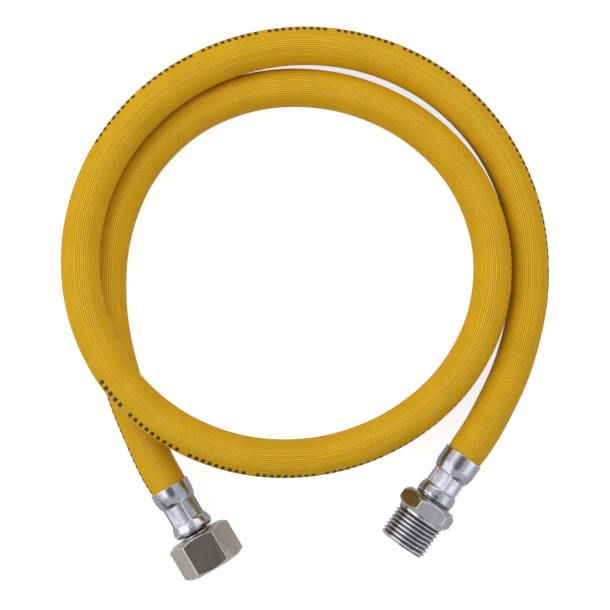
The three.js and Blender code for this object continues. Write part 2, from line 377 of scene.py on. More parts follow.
@dataclass(frozen=True)
class Thread:
    """Pipe thread with rounded crests and roots."""

    root: float
    crest: float
    samples: int = 14
    pitch: float = SIZES.thread_pitch
    flat_share: float = 0.05
    flank_share: float = 0.88
    smoothing: float = 0.3

    def rows(self, start: float, end: float, angles: Array) -> Array:
        """Rows of a right-hand helical thread.

        The phase z/pitch - angle/turn runs from 0 to 1 over each ridge. The ridge's height is a
        triangle wave of the phase, cut at root and crest and smoothed there with h²(3 - 2h).

        Args:
            start: Place where the rows start.
            end: Place where the rows end.
            angles: Angle of each column, in radians.
        Returns:
            Rows of [radius, z], shape (rows, columns, 2).
        """
        count = int(abs(end - start) / self.pitch * self.samples) + 1
        z = np.linspace(start, end, count)[:, None]
        phase = np.mod(z / self.pitch - angles[None, :] / FULL_TURN, 1.0)
        wave = np.abs(2 * phase - 1)
        height = np.clip((wave - self.flat_share) / self.flank_share, 0.0, 1.0)
        smooth = height**2 * (3 - 2 * height)
        height = (1 - self.smoothing) * height + self.smoothing * smooth
        radius = self.root + (self.crest - self.root) * height
        return np.stack([radius, np.broadcast_to(z, radius.shape)], axis=-1)


def grid_skin(
    around: Array, along: Array, closed: bool, first: int = 0, inside: bool = False
) -> tuple[Array, Array]:
    """Quads (i, j), (i, j+1), (i+1, j+1), (i+1, j) of a grid whose columns go round a piece.

    Args:
        around: Place of each column round the piece, in millimetres, the first one again at the end.
        along: Place of each row, in millimetres, the first one again at the end of a closed grid.
        closed: Whether the last row meets the first.
        first: Number of the grid's first point.
        inside: Whether the quads face the other way.
    Returns:
        Corner numbers of each quad, and texture coordinates of each corner in metres.
    """
    columns = len(around) - 1
    rows = len(along) - 1 if closed else len(along)
    row, column = np.meshgrid(np.arange(len(along) - 1), np.arange(columns), indexing="ij")
    corners = [(row, column), (row, column + 1), (row + 1, column + 1), (row + 1, column)]
    if inside:
        corners = [corners[0], *corners[:0:-1]]
    numbers = [first + (i % rows) * columns + j % columns for i, j in corners]
    pairs = [np.stack([around[j], along[i]], axis=-1) for i, j in corners]
    quads = np.stack(numbers, axis=-1).reshape(-1, 4)
    return quads, np.stack(pairs, axis=2).reshape(-1, 2) * MM


def curvature(points: Array) -> Array:
    """Signed bend of a closed grid, positive on a ridge and negative in a hollow.

    For both directions of the grid it is (change of the normal)·(step) / (step's length)², from one
    neighbour to the other, and the larger in size of the two counts.

    Args:
        points: Grid of points, shape (rows, columns, 3).
    Returns:
        Bend at each point, in 1/mm.
    """
    down = np.roll(points, -1, axis=0) - np.roll(points, 1, axis=0)
    across = np.roll(points, -1, axis=1) - np.roll(points, 1, axis=1)
    normal = np.cross(across, down)
    normal /= np.maximum(np.linalg.norm(normal, axis=-1, keepdims=True), 1e-12)
    bends = []
    for axis, step in ((0, down), (1, across)):
        change = np.roll(normal, -1, axis=axis) - np.roll(normal, 1, axis=axis)
        length = np.maximum((step**2).sum(axis=-1), 1e-6)
        bends.append((change * step).sum(axis=-1) / length)
    first, second = bends
    return np.where(np.abs(first) > np.abs(second), first, second)


def put_in_scene(name: str, data: bpy.types.ID) -> Piece:
    """New object in the scene.

    Args:
        name: Name of the object.
        data: Its mesh, lamp or camera.
    Returns:
        The new object.
    """
    thing = bpy.data.objects.new(name, data)
    bpy.context.scene.collection.objects.link(thing)
    return thing


def store(mesh: bpy.types.Mesh, label: str, values: Array) -> None:
    """Writes a number at each point of a mesh, which the materials read by its label."""
    attribute = mesh.attributes.new(label, "FLOAT", "POINT")
    attribute.data.foreach_set("value", values.astype(np.float32))


def make_piece(
    name: str, points: Array, faces: list[list[int]], coordinates: Array, bend: Array
) -> Piece:
    """Mesh object at the origin from points in millimetres.

    Args:
        name: Name of the object and its mesh.
        points: Points in the part's frame, shape (count, 3), in millimetres.
        faces: Corner numbers of each face, anticlockwise from outside.
        coordinates: Texture coordinates of each face corner.
        bend: Signed bend of each point, in 1/mm, and the deepest hollow where a piece gets painted
            shade.
    Returns:
        The new object.
    """
    mesh = bpy.data.meshes.new(name)
    mesh.from_pydata((points * MM).tolist(), [], faces)
    layer = mesh.uv_layers.new(name="surface")
    layer.data.foreach_set("uv", coordinates.astype(np.float32).ravel())
    for label, values in (("ridge", bend), ("hollow", -bend)):
        store(mesh, label, np.clip(values, 0.0, MOST_BEND))
    mesh.shade_smooth()
    LOG.info("%s: %d points, %d faces", name, len(points), len(faces))
    return put_in_scene(name, mesh)


def loft(
    name: str, parts: Sequence[Array], angles: Array, end: HoseEnd, shade_zone: Triple = (0.0, 0.0, 0.0)
) -> Piece:
    """Closed piece from rows of [radius, z] at each angle, set on an end of the hose.

    A row's point is (r·cos a, r·sin a, z) in the end's own frame.

    Args:
        name: Name of the piece.
        parts: Turned profiles, shape (rows, 2), and rows with a value at each angle, shape (rows,
            columns, 2), in order up the outside and down the inside.
        angles: Angle of each column, in radians.
        end: The end that carries the piece.
        shade_zone: From z, to z and up to which radius the surface gets painted shade: it counts as
            the deepest hollow, so its finish paints it dark with its dirt colour.
    Returns:
        The new object.
    """
    spins = [part if part.ndim == 3 else spun(part, len(angles)) for part in parts]
    rows = np.concatenate(spins)
    radius, z = rows[..., 0], rows[..., 1]
    low, high, deep = shade_zone
    groove = (z > low) & (z < high) & (radius < deep)
    local = np.stack([radius * np.cos(angles), radius * np.sin(angles), z], axis=-1)
    turn = np.append(angles, angles[0] + FULL_TURN) - angles[0]
    along = distances(np.concatenate([rows[:, 0], rows[:1, 0]]))
    faces, coordinates = grid_skin(turn * SIZES.mouth_radius, along, True)
    # Painted shade: points in the shade zone count as the deepest hollow, so the finish paints them
    # dark.
    bend = np.where(groove, -MOST_BEND, curvature(local)).ravel()
    return make_piece(name, end.place(local).reshape(-1, 3), faces.tolist(), coordinates, bend)


@dataclass
class Board:
    """Places nodes in a node tree and feeds their sockets."""

    tree: Tree

    def feed(self, socket: Socket, value: Feed) -> None:
        """Links a socket to another one, or sets its own value.

        Args:
            socket: The input to feed.
            value: Its source, or the value itself.
        """
        if isinstance(value, Socket):
            self.tree.links.new(value, socket)
        else:
            socket.default_value = value

    def feed_all(self, node: Node, feeds: Feeds) -> None:
        """Feeds several inputs of a node, by name or number."""
        for key, value in feeds.items():
            self.feed(node.inputs[key], value)

    def add(self, kind: str, feeds: Feeds | None = None, **settings: object) -> Node:
        """A node with its settings made and its sockets fed.

        Args:
            kind: Blender's name of the node's type.
            feeds: Value or source of each input socket, by name or number.
            **settings: The node's own properties.
        Returns:
            The new node.
        """
        node = self.tree.nodes.new(kind)
        for name, value in settings.items():
            setattr(node, name, value)
        self.feed_all(node, feeds or {})
        return node

    def maths(self, operation: str, *values: Feed) -> Socket:
        """Result of a Math node on the values given."""
        return self.add("ShaderNodeMath", dict(enumerate(values)), operation=operation).outputs[0]

    def ramp(self, value: Socket, low: float, high: float, top: float = 1.0) -> Socket:
        """Smooth step from 0 at low to top at high."""
        feeds: Feeds = {0: value, 1: low, 2: high, 3: 0.0, 4: top}
        return self.add("ShaderNodeMapRange", feeds, interpolation_type="SMOOTHSTEP").outputs[0]

    def scaled(self, value: Socket, bottom: float, top: float) -> Socket:
        """A value from 0 to 1 spread evenly from bottom to top."""
        feeds: Feeds = {0: value, 1: 0.0, 2: 1.0, 3: bottom, 4: top}
        return self.add("ShaderNodeMapRange", feeds).outputs[0]

    def noise(self, place: Socket, scale: float, detail: float = 2.0) -> Socket:
        """Value of a noise texture."""
        feeds: Feeds = {"Vector": place, "Scale": scale, "Detail": detail}
        return self.add("ShaderNodeTexNoise", feeds).outputs[0]

    def stretched(self, place: Socket, scale: Triple) -> Socket:
        """Coordinates scaled by their own number on each axis."""
        feeds: Feeds = {"Vector": place, "Scale": scale}
        return self.add("ShaderNodeMapping", feeds).outputs[0]

    def tinted(self, mask: Socket, first: Feed, second: Feed) -> Socket:
        """First colour where the mask is 0, second colour where it is 1."""
        feeds: Feeds = {0: mask, 6: first, 7: second}
        return self.add("ShaderNodeMix", feeds, data_type="RGBA").outputs[2]

    def bump(self, height: Socket, distance: float) -> Socket:
        """Normal of a Bump node over the height given, in metres of relief."""
        return self.add("ShaderNodeBump", {"Height": height, "Distance": distance}).outputs[0]


def empty_board(holder: Material | bpy.types.World) -> Board:
    """Empties a node tree.

    Args:
        holder: Material or world that has the tree.
    Returns:
        Board on it.
    """
    holder.use_nodes = True
    holder.node_tree.nodes.clear()
    return Board(holder.node_tree)


def new_group(
    name: str, numbers: Sequence[str], outputs: Sequence[str]
) -> tuple[Board, Node, Node]:
    """Shader node group with coordinates and numbers coming in, and numbers going out.

    Args:
        name: Name of the group.
        numbers: Names of its inputs after the coordinates, which are called Place.
        outputs: Names of its outputs.
    Returns:
        Board on the group's tree, its input node and its output node.
    """
    tree = bpy.data.node_groups.new(name, "ShaderNodeTree")
    tree.interface.new_socket(name="Place", in_out="INPUT", socket_type="NodeSocketVector")
    for way, labels in (("INPUT", numbers), ("OUTPUT", outputs)):
        for label in labels:
            tree.interface.new_socket(name=label, in_out=way, socket_type="NodeSocketFloat")
    board = Board(tree)
    return board, board.add("NodeGroupInput"), board.add("NodeGroupOutput")


def build_scratches() -> Tree:
    """Group of fine scratches: the sparse peaks of a noise that is stretched along the piece.

    Returns:
        The group's tree, which gives a mask.
    """
    board, given, made = new_group("fine_scratches", ["Amount"], ["Mask"])
    place = given.outputs["Place"]
    lines = board.noise(board.stretched(place, (1300.0, 110.0, 1.0)), 1.0, 0.0)
    thin = board.ramp(lines, 0.65, 0.74)
    board.feed(made.inputs["Mask"], board.maths("MULTIPLY", thin, given.outputs["Amount"]))
    return board.tree


def build_wear_and_shade() -> Tree:
    """Group of wear and painted shade: ridges rubbed bright, and hollows that keep dirt, both broken
    up by noise. Zones that a piece marks as deepest hollow get the dirt colour in full, as painted
    shade.

    Returns:
        The group's tree, which gives a mask of each.
    """
    board, given, made = new_group("wear_and_shade", [], ["Rubbed", "DirtAndShade"])
    uneven = board.noise(given.outputs["Place"], 900.0, 3.0)
    broken = board.scaled(uneven, 0.5, 1.3)
    for label, output, high in (("ridge", "Rubbed", 1.8), ("hollow", "DirtAndShade", 1.6)):
        bend = board.add("ShaderNodeAttribute", attribute_name=label).outputs["Fac"]
        mask = board.ramp(board.maths("MULTIPLY", bend, broken), 0.25, high)
        board.feed(made.inputs[output], mask)
    return board.tree


def build_mottle() -> Tree:
    """Group of mottling: a broad noise and a fine one, each spread to a value from 0 to 1.

    Returns:
        The group's tree, which gives both.
    """
    board, given, made = new_group("mottle", [], ["Broad", "Fine"])
    place = given.outputs["Place"]
    board.feed(made.inputs["Broad"], board.ramp(board.noise(place, 90.0, 3.0), 0.35, 0.66))
    board.feed(made.inputs["Fine"], board.ramp(board.noise(place, 1500.0, 3.0), 0.3, 0.7))
    return board.tree


class SharedEffects:
    """Node groups that several finishes use, each built once."""

    def __init__(self) -> None:
        """Builds the groups."""
        self.scratches = build_scratches()
        self.wear_and_shade = build_wear_and_shade()
        self.mottle = build_mottle()

    def use(self, board: Board, group: Tree, feeds: Feeds) -> Node:
        """Places a group in a material and feeds it."""
        return board.add("ShaderNodeGroup", feeds, node_tree=group)


def new_material(name: str) -> tuple[Board, Node, Socket, Socket]:
    """Empty material with its shader.

    Args:
        name: Name of the material.
    Returns:
        Board on its tree, its Principled node, object coordinates and the piece's UV map.
    """
    board = empty_board(bpy.data.materials.new(name))
    shader = board.add("ShaderNodeBsdfPrincipled")
    board.add("ShaderNodeOutputMaterial", {"Surface": shader.outputs[0]})
    place = board.add("ShaderNodeTexCoord").outputs["Object"]
    chart = board.add("ShaderNodeUVMap", uv_map="surface").outputs[0]
    return board, shader, place, chart


@dataclass(frozen=True)
class RibbedHoseFinish:
    """Yellow hose: fine lengthwise ribs with painted highlight and shade, and a plain dashed line."""

    name: str = "ribbed_hose_yellow"
    body: Colour = (0.77, 0.42, 0.003, 1.0)
    deep: Colour = (0.71, 0.385, 0.002, 1.0)
    # crest is a painted highlight colour on the rib crests, and groove is a painted shade colour in
    # the rib grooves.
    crest: Colour = (0.97, 0.72, 0.11, 1.0)
    gleam: Colour = (1.0, 0.8, 0.4, 1.0)
    groove: Colour = (0.49, 0.22, 0.002, 1.0)
    ink: Colour = (0.035, 0.028, 0.025, 1.0)
    ink_cover: float = 0.92
    ribs: int = 58
    dash_pitch: float = 2.7
    dash_length: float = 1.5
    dash_width: float = 3.2
    row_pitch: float = 27.0
    row_share: float = 0.86
    blank: tuple[float, float] = (348.0, 440.0)
    line: tuple[tuple[float, float], ...] = (
        (80.0, 88.0), (105.0, 76.0), (150.0, 66.0), (200.0, 60.0), (300.0, 60.0), (345.0, 66.0),
        (443.0, 51.0), (490.0, 58.0), (530.0, 66.0), (565.0, 75.0), (620.0, 84.0), (665.0, 84.0),
        (710.0, 96.0), (890.0, 96.0), (935.0, 77.0), (1000.0, 73.0),
    )

    def line_angle(self, along: Array) -> Array:
        """Angle of the dashed line from the top of the hose, as the hose's slow twist carries it.

        Args:
            along: Distances along the hose, in millimetres.
        Returns:
            Angles in degrees, towards the outside of the coil, even between the places of `line`.
        """
        places, angles = zip(*self.line)
        return np.interp(along, places, angles)

    def dashes(self, board: Board, along: Socket) -> Socket:
        """Mask of the dashes: beside the line's middle, in rows, in the first part of each pitch.

        Args:
            board: Board of the material.
            along: Distance along the hose, in metres.
        Returns:
            1 on a dash and 0 beside it.
        """
        across = board.add("ShaderNodeAttribute", attribute_name="line_distance").outputs["Fac"]
        half = self.dash_width / 2
        beside = board.maths("SUBTRACT", 1.0, board.ramp(across, half - 0.1, half + 0.1))
        share = board.maths("FRACT", board.maths("DIVIDE", along, self.dash_pitch * MM))
        within = board.maths("LESS_THAN", share, self.dash_length / self.dash_pitch)
        row = board.maths("FRACT", board.maths("DIVIDE", along, self.row_pitch * MM))
        in_row = board.maths("LESS_THAN", row, self.row_share)
        return board.maths("MULTIPLY", beside, board.maths("MULTIPLY", within, in_row))

    def build(self, effects: SharedEffects) -> Material:
        """Material of the hose's cover.

        A rib's phase is ribs·arc/radius, and (1 + cos(phase))/2 is 1 on its crest and 0 in the groove
        beside it. Crests get a painted highlight in a band along the hose's top, broken up by a
        stretched noise, and grooves get painted shade, strongest in that band.

        Args:
            effects: Node groups that the finishes share.
        Returns:
            The new material.
        """
        board, shader, place, chart = new_material(self.name)
        split = board.add("ShaderNodeSeparateXYZ", {0: chart})
        around, along = split.outputs[0], split.outputs[1]
        mottle = effects.use(board, effects.mottle, {"Place": place})
        girth = FULL_TURN * SIZES.hose_radius * MM
        phase = board.maths("MULTIPLY", around, FULL_TURN * self.ribs / girth)
        wave = board.maths("MULTIPLY_ADD", board.maths("COSINE", phase), 0.5, 0.5)
        # Painted highlight: a band along the hose's top (upper), broken up by the streak noise, turns
        # the rib crests pale. The grooves get painted shade, strongest in that band (clear).
        streak = board.ramp(board.noise(board.stretched(chart, (900.0, 9.0, 1.0)), 1.0), 0.35, 0.65)
        turn = board.maths("DIVIDE", around, SIZES.hose_radius * MM)
        upper = board.ramp(board.maths("COSINE", turn), 0.8, 0.96)
        top_highlight, highlight_breakup = board.scaled(upper, 0.45, 1.0), board.scaled(streak, 0.35, 1.0)
        clear = board.maths("MULTIPLY", top_highlight, highlight_breakup)
        lit = board.maths("MULTIPLY", board.ramp(wave, 0.6, 1.0), clear)
        dips = board.maths("SUBTRACT", 1.0, board.ramp(wave, 0.0, 0.45))
        groove_shade = board.maths("MULTIPLY", dips, board.scaled(clear, 0.4, 0.9))
        body = board.tinted(mottle.outputs["Broad"], self.deep, self.body)
        groove_shaded = board.tinted(groove_shade, body, self.groove)
        crest_highlighted = board.tinted(lit, groove_shaded, self.crest)
        fine = mottle.outputs["Fine"]
        worn = board.maths("MULTIPLY", self.dashes(board, along), self.ink_cover)
        board.feed_all(shader, {
            "Base Color": board.tinted(worn, crest_highlighted, self.ink),
            "Roughness": board.scaled(fine, 0.34, 0.5),
            "Specular IOR Level": 0.08,
            "Specular Tint": self.gleam,
            "Normal": board.bump(fine, 0.00002),
        })
        return bpy.data.materials[self.name]


@dataclass(frozen=True)
class MetalFinish:
    """Plated or bare metal with lines left by its making, mottling, scratches and worn edges, dirt in
    hollows and painted shade in zones that a piece marks.
    """

    name: str
    base: Colour
    shade: Colour
    bright: Colour
    dirt_and_shade: Colour
    smooth: float
    rough: float
    line_scale: Triple
    line_relief: float
    scratches: float = 0.5
    dirt_and_shade_share: float = 0.6

    def build(self, effects: SharedEffects) -> Material:
        """Material of the metal.

        Args:
            effects: Node groups that the finishes share.
        Returns:
            The new material.
        """
        board, shader, place, chart = new_material(self.name)
        mottle = effects.use(board, effects.mottle, {"Place": place})
        worn_and_shaded = effects.use(board, effects.wear_and_shade, {"Place": place})
        amount: Feeds = {"Place": chart, "Amount": self.scratches}
        scratch = effects.use(board, effects.scratches, amount).outputs["Mask"]
        lines = board.noise(board.stretched(chart, self.line_scale), 1.0, 4.0)
        drawn = board.ramp(lines, 0.45, 0.65)
        uneven = board.maths("MAXIMUM", mottle.outputs["Broad"], drawn)
        body = board.tinted(uneven, self.base, self.shade)
        # Dirt in hollows, and painted shade where a piece marks a zone as deepest hollow.
        dirt_and_shade_mask = board.maths("MULTIPLY", worn_and_shaded.outputs["DirtAndShade"], self.dirt_and_shade_share)
        dirt_and_shade_tinted = board.tinted(dirt_and_shade_mask, body, self.dirt_and_shade)
        rubbed = board.maths("MAXIMUM", worn_and_shaded.outputs["Rubbed"], scratch)
        patchy = board.maths("MULTIPLY", mottle.outputs["Broad"], lines)
        height = board.maths("SUBTRACT", lines, board.maths("MULTIPLY", scratch, 0.5))
        board.feed_all(shader, {
            "Base Color": board.tinted(rubbed, dirt_and_shade_tinted, self.bright),
            "Metallic": 1.0,
            "Roughness": board.scaled(patchy, self.smooth, self.rough),
            "Normal": board.bump(height, self.line_relief),
        })
        return bpy.data.materials[self.name]


@dataclass(frozen=True)
class RubberFinish:
    """Black rubber of the washer, with a faint bloom."""

    name: str = "black_rubber"
    base: Colour = (0.016, 0.017, 0.019, 1.0)
    bloom: Colour = (0.05, 0.05, 0.052, 1.0)

    def build(self, effects: SharedEffects) -> Material:
        """Material of the washer.

        Args:
            effects: Node groups that the finishes share.
        Returns:
            The new material.
        """
        board, shader, place, _ = new_material(self.name)
        mottle = effects.use(board, effects.mottle, {"Place": place})
        fine = mottle.outputs["Fine"]
        board.feed_all(shader, {
            "Base Color": board.tinted(mottle.outputs["Broad"], self.base, self.bloom),
            "Roughness": board.scaled(fine, 0.55, 0.8),
            "Normal": board.bump(fine, 0.00003),
        })
        return bpy.data.materials[self.name]


ZINC = MetalFinish(
    name="pressed_zinc",
    base=(0.545, 0.55, 0.615, 1.0),
    shade=(0.40, 0.405, 0.47, 1.0),
    bright=(0.86, 0.86, 0.90, 1.0),
    # The dark colour below is used for dirt in hollows and for the painted shade on the ferrules'
    # bead ends.
    dirt_and_shade=(0.13, 0.13, 0.15, 1.0),
    smooth=0.14,
    rough=0.32,
    line_scale=(2600.0, 120.0, 1.0),
    line_relief=0.00003,
    dirt_and_shade_share=0.7,
)
NUT_NICKEL = MetalFinish(
    name="satin_nickel",
    base=(0.53, 0.495, 0.462, 1.0),
    shade=(0.50, 0.465, 0.43, 1.0),
    bright=(0.88, 0.87, 0.88, 1.0),
    dirt_and_shade=(0.12, 0.09, 0.06, 1.0),
    smooth=0.13,
    rough=0.26,
    line_scale=(1400.0, 120.0, 1.0),
    line_relief=0.000008,
    scratches=0.35,
)
TURNED_NICKEL = MetalFinish(
    name="turned_nickel",
    base=(0.48, 0.48, 0.54, 1.0),
    shade=(0.42, 0.415, 0.45, 1.0),
    bright=(0.90, 0.90, 0.92, 1.0),
    # The nearly black colour below is used for dirt in hollows and for the painted shade in the
    # relief behind the thread.
    dirt_and_shade=(0.05, 0.04, 0.03, 1.0),
    smooth=0.12,
    rough=0.28,
    line_scale=(60.0, 3200.0, 1.0),
    line_relief=0.00001,
    scratches=0.12,
    dirt_and_shade_share=0.8,
)
BRASS = MetalFinish(
    name="turned_brass",
    base=(0.70, 0.65, 0.56, 1.0),
    shade=(0.62, 0.56, 0.46, 1.0),
    bright=(0.92, 0.90, 0.86, 1.0),
    # The nearly black colour below is used for dirt in hollows and for the painted shade on the
    # tail's neck behind the nut.
    dirt_and_shade=(0.012, 0.010, 0.008, 1.0),
    smooth=0.18,
    rough=0.36,
    line_scale=(50.0, 3000.0, 1.0),
    line_relief=0.00001,
    dirt_and_shade_share=1.0,
)


def dress(piece: Piece, node: str, body: Body, finish: Material) -> Piece:
    """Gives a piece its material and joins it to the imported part.

    Args:
        piece: The piece.
        node: The CAD node that it stands for.
        body: The body that it rides on.
        finish: Its material.
    Returns:
        The same piece.
    """
    piece.data.materials.append(finish)
    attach(piece, body.value)
    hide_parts(node)
    return piece


def spline_points(points: Array, steps: int) -> Array:
    """Centripetal Catmull-Rom curve through the points.

    Knots lie the square root of each chord apart. Between b and c the curve blends the lines
    through a-b, b-c and c-d twice over by knot distance. The ends repeat their chord outwards.

    Args:
        points: Points on the curve, shape (count, 3).
        steps: Samples of each stretch.
    Returns:
        Samples along the curve, the last point included.
    """
    first = 2 * points[0] - points[1]
    last = 2 * points[-1] - points[-2]
    whole = np.concatenate([[first], points, [last]])
    a, b, c, d = (whole[k : len(whole) - 3 + k, None, :] for k in range(4))
    knot_b = np.sqrt(np.linalg.norm(b - a, axis=-1, keepdims=True))
    knot_c = knot_b + np.sqrt(np.linalg.norm(c - b, axis=-1, keepdims=True))
    knot_d = knot_c + np.sqrt(np.linalg.norm(d - c, axis=-1, keepdims=True))
    share = np.linspace(0.0, 1.0, steps, endpoint=False)[None, :, None]
    t = knot_b + (knot_c - knot_b) * share
    line_ab = a + (b - a) * t / knot_b
    line_bc = b + (c - b) * (t - knot_b) / (knot_c - knot_b)
    line_cd = c + (d - c) * (t - knot_c) / (knot_d - knot_c)
    low = line_ab + (line_bc - line_ab) * t / knot_c
    high = line_bc + (line_cd - line_bc) * (t - knot_b) / (knot_d - knot_b)
    curve = low + (high - low) * (t - knot_b) / (knot_c - knot_b)
    return np.concatenate([curve.reshape(-1, 3), points[-1:]])


@dataclass
class Hose:
    """The ribbed hose, from inside the male ferrule round the coil to inside the nut's ferrule."""

    finish: RibbedHoseFinish = RibbedHoseFinish()
    rib_depth: float = 0.09
    samples_per_rib: int = 4
    row_step: float = 3.4
    end_rows: int = 34
    lead: float = 5.0
    taper: float = 4.0
    tube_start: float = -3.0
    bore_stride: int = 3
    least_squeeze: float = 0.2
    route: tuple[Triple, ...] = (
        (76.4, -46.6, 10.9), (86.7, -24.1, 9.1), (93.1, 6.9, 8.1), (90.1, 38.6, 8.1),
        (77.2, 67.2, 8.1), (55.7, 89.5, 8.1), (27.9, 103.2, 8.5), (-3.1, 106.9, 11.6),
        (-33.9, 100.4, 15.1), (-61.2, 84.2, 18.8), (-81.4, 59.9, 20.2), (-91.8, 30.4, 20.3),
        (-90.8, -0.4, 22.3), (-78.2, -28.5, 24.9), (-55.8, -50.0, 24.5), (-26.8, -62.1, 20.9),
        (4.9, -63.1, 16.9), (35.1, -53.0, 14.4), (59.6, -33.3, 14.0), (74.4, -6.2, 14.3),
        (76.6, 24.4, 13.5), (65.6, 53.2, 11.6), (43.4, 75.4, 9.4), (13.8, 87.9, 8.1),
        (-18.1, 88.8, 8.1), (-47.2, 77.9, 8.2), (-69.1, 56.5, 8.3), (-80.9, 27.8, 8.1),
        (-82.4, -4.0, 8.1), (-75.6, -35.2, 9.0), (-66.3, -58.2, 11.1),
    )

    def centre_line(self) -> tuple[Array, Array]:
        """Middle of the hose from end to end.

        Returns:
            Dense points in millimetres, and the distance of each along the line.
        """
        bent = np.array([
            MALE_END.on_axis(self.tube_start),
            MALE_END.on_axis(self.tube_start - self.lead),
            *self.route,
            NUT_END.on_axis(self.tube_start - self.lead),
            NUT_END.on_axis(self.tube_start),
        ])
        start = MALE_END.on_axis(MALE_END.zones.hose_stop)
        stop = NUT_END.on_axis(NUT_END.zones.hose_stop)
        line = np.concatenate([[start], spline_points(bent, 40), [stop]])
        return line, distances(line)

    def outside(self, end: HoseEnd, inward: Array) -> Array:
        """Outer radius of the hose near one end.

        Args:
            end: The end.
            inward: Distances into its ferrule, negative in front of it.
        Returns:
            Radius at each distance, even between the zones of the ferrule.
        """
        zones = end.zones
        in_mouth = SIZES.hose_radius - SIZES.mouth_squeeze
        in_crimp = SIZES.stretched_radius + SIZES.crimped_wall
        in_bead = SIZES.mouth_radius + zones.rise - 2 * SIZES.ferrule_wall - SIZES.clearance
        bead_at = min(zones.bead_at, zones.hose_stop - SIZES.clearance)
        places = [-self.taper, 0.0, zones.mouth, zones.shoulder_at, zones.crimp_at, bead_at]
        radii = [SIZES.hose_radius, in_mouth, in_mouth, in_crimp, in_crimp, in_bead]
        return np.interp(inward, places, radii)

    def row_places(self, total: float) -> Array:
        """Places of the mesh's rows, close together inside the ferrules.

        Args:
            total: Length of the centre line.
        Returns:
            Distances along it.
        """
        first = MALE_END.zones.hose_stop + 2 * self.taper
        last = total - NUT_END.zones.hose_stop - 2 * self.taper
        middle = np.arange(first, last, self.row_step)[1:]
        starts = np.linspace(0.0, first, self.end_rows)
        ends = np.linspace(last, total, self.end_rows)
        return np.concatenate([starts, middle, ends])

    def sweep(self, line: Array, along: Array) -> tuple[Array, Array]:
        """Frames along the line.

        The up direction is +Z less its part along the tangent, made one long, and the outward
        direction is tangent × up, which points away from the middle of the coil.

        Args:
            line: Points of the centre line.
            along: Distance of each point.
        Returns:
            Up and outward direction at each point.
        """
        tangent = np.gradient(line, along, axis=0)
        tangent /= np.linalg.norm(tangent, axis=1, keepdims=True)
        up = np.array([0.0, 0.0, 1.0]) - tangent * tangent[:, 2:]
        up /= np.linalg.norm(up, axis=1, keepdims=True)
        return up, np.cross(tangent, up)

    def tube(self, radius: Array, columns: int, middle: Array, up: Array, outward: Array) -> Array:
        """Rings of points round the line: middle + r·(up·cos a + outward·sin a).

        Args:
            radius: Radius of each ring, shape (rows, 1), or of each point, shape (rows, columns).
            columns: Points of each ring.
            middle: Middle of each ring.
            up: Up direction at each ring.
            outward: Outward direction at each ring.
        Returns:
            Points, shape (rows, columns, 3).
        """
        angles = angles_round(columns)[None, :, None]
        ring = up[:, None] * np.cos(angles) + outward[:, None] * np.sin(angles)
        return middle[:, None] + radius[..., None] * ring

    def build(self, effects: SharedEffects) -> Piece:
        """The hose's mesh, dressed and riding on its body.

        Outside, the radius at each place is lowered by depth·(1 - cos(ribs·a))/2 in the open
        stretch. The bore has one column to each rib, and each end is closed by a ring of faces that
        joins the two. The distance to the dashed line is the chord r·sqrt(2 - 2·cos(a - line)), and
        far off in the line's blank stretch.

        Args:
            effects: Node groups of the finishes.
        Returns:
            The new object.
        """
        line, along = self.centre_line()
        places = self.row_places(along[-1])
        middle = at_places(line, along, places)
        up, outward = self.sweep(middle, places)
        into_male = MALE_END.zones.hose_stop - places
        into_nut = places - (along[-1] - NUT_END.zones.hose_stop)
        radius = np.minimum(self.outside(MALE_END, into_male), self.outside(NUT_END, into_nut))
        open_stretch = np.clip(-np.maximum(into_male, into_nut), 0.0, 1.0)[:, None]
        ribs = self.finish.ribs
        columns = ribs * self.samples_per_rib
        wave = (1 - np.cos(ribs * angles_round(columns))) / 2
        ribbed = radius[:, None] - open_stretch * self.rib_depth * wave[None, :]
        outer = self.tube(ribbed, columns, middle, up, outward)
        kept = np.unique(np.append(np.arange(0, len(places), self.bore_stride), len(places) - 1))
        crimped = radius[kept, None] < SIZES.hose_radius - self.least_squeeze
        bore_radius = np.where(crimped, SIZES.stretched_radius, SIZES.bore_radius)
        bore = self.tube(bore_radius, ribs, middle[kept], up[kept], outward[kept])
        faces, coordinates = self.skin(places, places[kept])
        points = np.concatenate([outer.reshape(-1, 3), bore.reshape(-1, 3)])
        piece = make_piece("hose_cover", points, faces, coordinates, np.zeros(len(points)))
        apart = angles_round(columns)[None, :] - np.radians(self.finish.line_angle(places))[:, None]
        chord = np.sqrt(2 * (1 - np.cos(apart))) * SIZES.hose_radius
        chord[(places > self.finish.blank[0]) & (places < self.finish.blank[1])] = FAR_OFF
        distance = np.concatenate([chord.ravel(), np.full(len(kept) * ribs, FAR_OFF)])
        store(piece.data, "line_distance", distance)
        return dress(piece, "hose", Body.HOSE, self.finish.build(effects))

